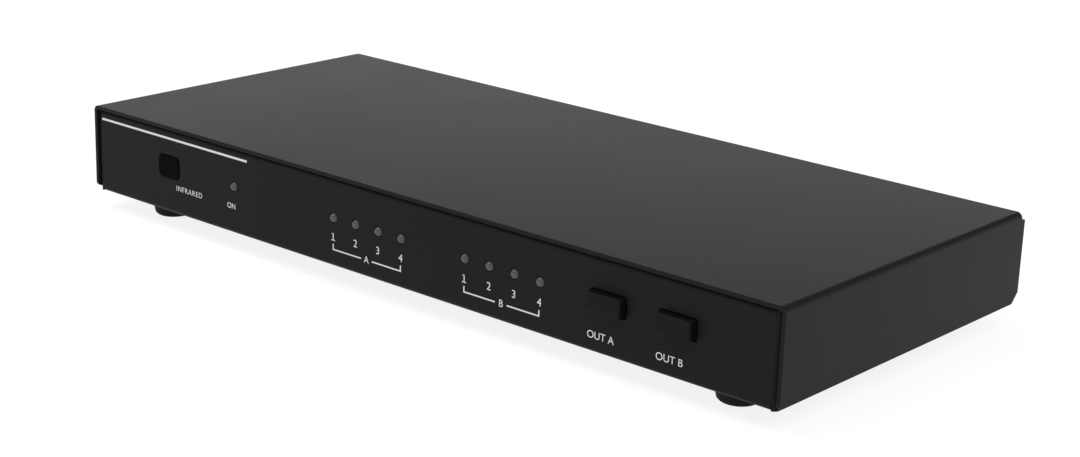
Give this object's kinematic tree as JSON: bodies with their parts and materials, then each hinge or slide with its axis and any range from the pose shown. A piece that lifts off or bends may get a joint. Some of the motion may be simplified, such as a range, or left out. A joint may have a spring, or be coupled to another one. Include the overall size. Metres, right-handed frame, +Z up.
{
  "type": "hdmi switch box",
  "caption": "Low black steel video switch box on rubber feet, with rear sockets, front indicator lamps, an infrared window and sprung push buttons.",
  "frame": {"origin": "centre of the object's footprint, on the surface that its feet stand on", "axes": "+X to the right seen from the front, +Y towards the rear panel, +Z up"},
  "size_m": [0.27, 0.122, 0.0342],
  "materials": {
    "cover_paint": "fine-textured satin black paint on sheet steel",
    "panel_paint": "smooth satin black paint on sheet steel",
    "black_screw": "black finished steel screw",
    "steel_screw": "plated steel",
    "foot_rubber": "matt black rubber",
    "button_plastic": "black moulded plastic",
    "ir_plastic": "very dark red infrared filter plastic",
    "lamp_lens": "smoky diffused lamp, unlit",
    "socket_shell": "nickel plated drawn steel",
    "black_plastic": "black moulded plastic",
    "pin_brass": "plated brass",
    "plunger_plastic": "off-white moulded plastic",
    "board": "green solder mask",
    "ribbon": "grey ribbon insulation",
    "header_plastic": "cream moulded plastic",
    "chip": "black moulded package",
    "capacitor_can": "bare can",
    "panel_print": "off-white screen-printed ink",
    "contact_gold": "gold plated contact"
  },
  "bodies": {
    "case": {"base_tray": "panel_paint", "top_cover": "cover_paint", "cover_screws": "black_screw", "foot_screws": "steel_screw", "main_board": "board", "board_standoffs": "steel_screw", "board_screws": "steel_screw", "power_jack_body": "black_plastic", "power_jack_pin": "pin_brass", "control_board": "board", "control_board_standoffs": "steel_screw", "control_board_screws": "steel_screw", "ir_window": "ir_plastic", "ir_receiver": "black_plastic", "ribbon_cable": "ribbon", "main_board_header": "header_plastic", "control_board_header": "header_plastic", "switching_chips": "chip", "controller_chip": "chip", "voltage_regulator": "chip", "filter_capacitors": "capacitor_can", "foot_front_left": "foot_rubber", "foot_front_right": "foot_rubber", "foot_rear_left": "foot_rubber", "foot_rear_right": "foot_rubber", "input_shell_1": "socket_shell", "input_tongue_1": "black_plastic", "input_shell_2": "socket_shell", "input_tongue_2": "black_plastic", "input_shell_3": "socket_shell", "input_tongue_3": "black_plastic", "input_shell_4": "socket_shell", "input_tongue_4": "black_plastic", "output_shell_a": "socket_shell", "output_tongue_a": "black_plastic", "switch_body_a": "black_plastic", "output_shell_b": "socket_shell", "output_tongue_b": "black_plastic", "switch_body_b": "black_plastic", "power_led": "lamp_lens", "led_a1": "lamp_lens", "led_a2": "lamp_lens", "led_a3": "lamp_lens", "led_a4": "lamp_lens", "led_b1": "lamp_lens", "led_b2": "lamp_lens", "led_b3": "lamp_lens", "led_b4": "lamp_lens"},
    "first_button": {"button_a": "button_plastic", "switch_plunger_a": "plunger_plastic"},
    "second_button": {"button_b": "button_plastic", "switch_plunger_b": "plunger_plastic"}
  },
  "joints": [
    {"name": "press_a", "type": "slide", "parent": "case", "child": "first_button", "axis": [0, 1, 0], "range_m": [0, 0.0005], "stiffness_N_per_m": 2000},
    {"name": "press_b", "type": "slide", "parent": "case", "child": "second_button", "axis": [0, 1, 0], "range_m": [0, 0.0005], "stiffness_N_per_m": 2000}
  ]
}
